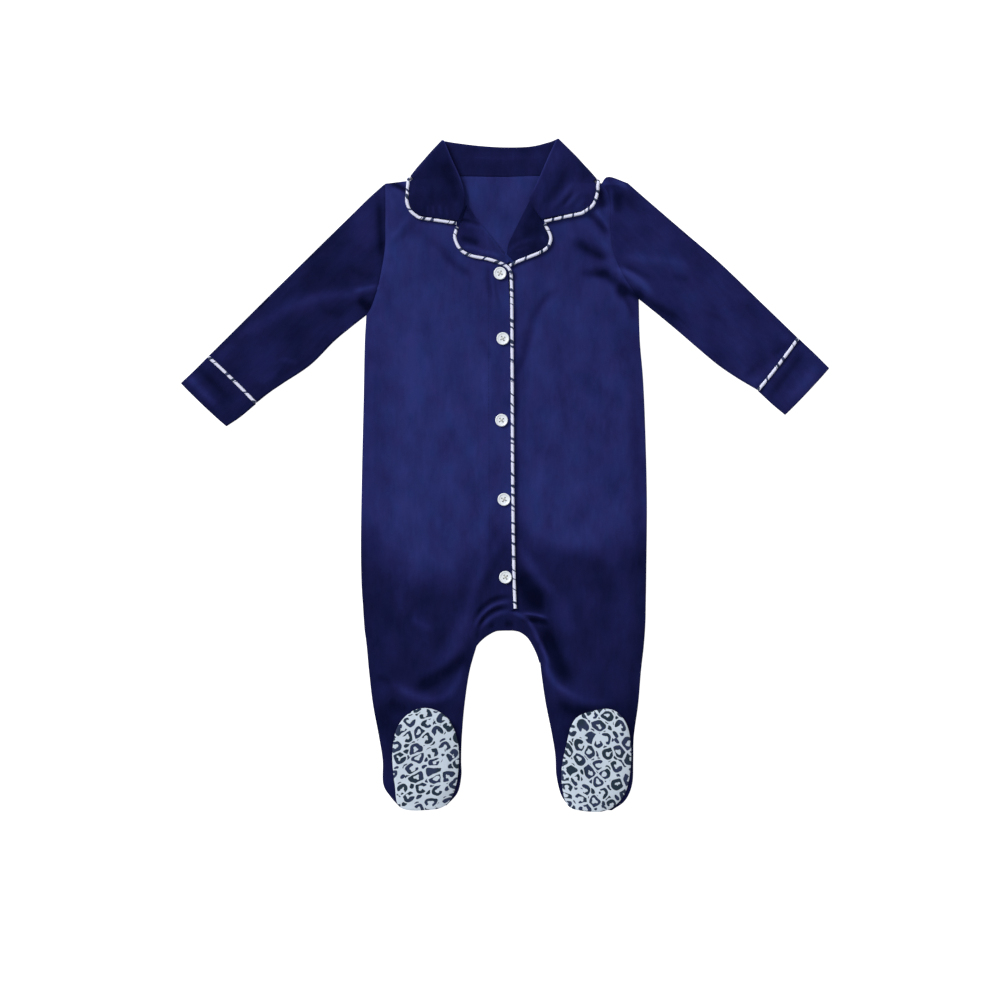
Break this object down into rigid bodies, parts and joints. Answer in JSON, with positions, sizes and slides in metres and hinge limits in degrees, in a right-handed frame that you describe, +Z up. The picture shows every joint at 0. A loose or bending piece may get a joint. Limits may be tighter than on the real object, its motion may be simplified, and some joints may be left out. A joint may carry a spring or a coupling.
{
  "type": "onesie pajama",
  "caption": "Footed one-piece baby pajama in velvet with notched collar, piped edges, buttoned front and printed soles, laid flat on its back.",
  "frame": {"origin": "middle of the bounding box, on the surface that the back lies on", "axes": "+Y from the feet to the collar, +X towards the wearer's left, +Z up from the back to the front"},
  "size_m": [0.5956, 0.619, 0.0126],
  "materials": {
    "navy_velvet": "soft velvet pile, navy blue",
    "leopard_velour": "velour printed with dark broken rings on pale grey",
    "button_white": "satin white plastic"
  },
  "bodies": {
    "root": {"back": "navy_velvet", "front_right": "navy_velvet", "front_left": "navy_velvet", "gusset": "navy_velvet", "sleeve_right": "navy_velvet", "sleeve_left": "navy_velvet", "cuff_right": "navy_velvet", "cuff_left": "navy_velvet", "cuff_piping_right": "leopard_velour", "cuff_piping_left": "leopard_velour", "collar": "navy_velvet", "collar_piping": "leopard_velour", "lapel_right": "navy_velvet", "lapel_left": "navy_velvet", "placket_piping": "leopard_velour", "lapel_piping_left": "leopard_velour", "sole_right": "leopard_velour", "sole_left": "leopard_velour", "foot_upper_right": "navy_velvet", "foot_upper_left": "navy_velvet", "button_1": "button_white", "button_2": "button_white", "button_3": "button_white", "button_4": "button_white", "button_5": "button_white"}
  },
  "joints": []
}
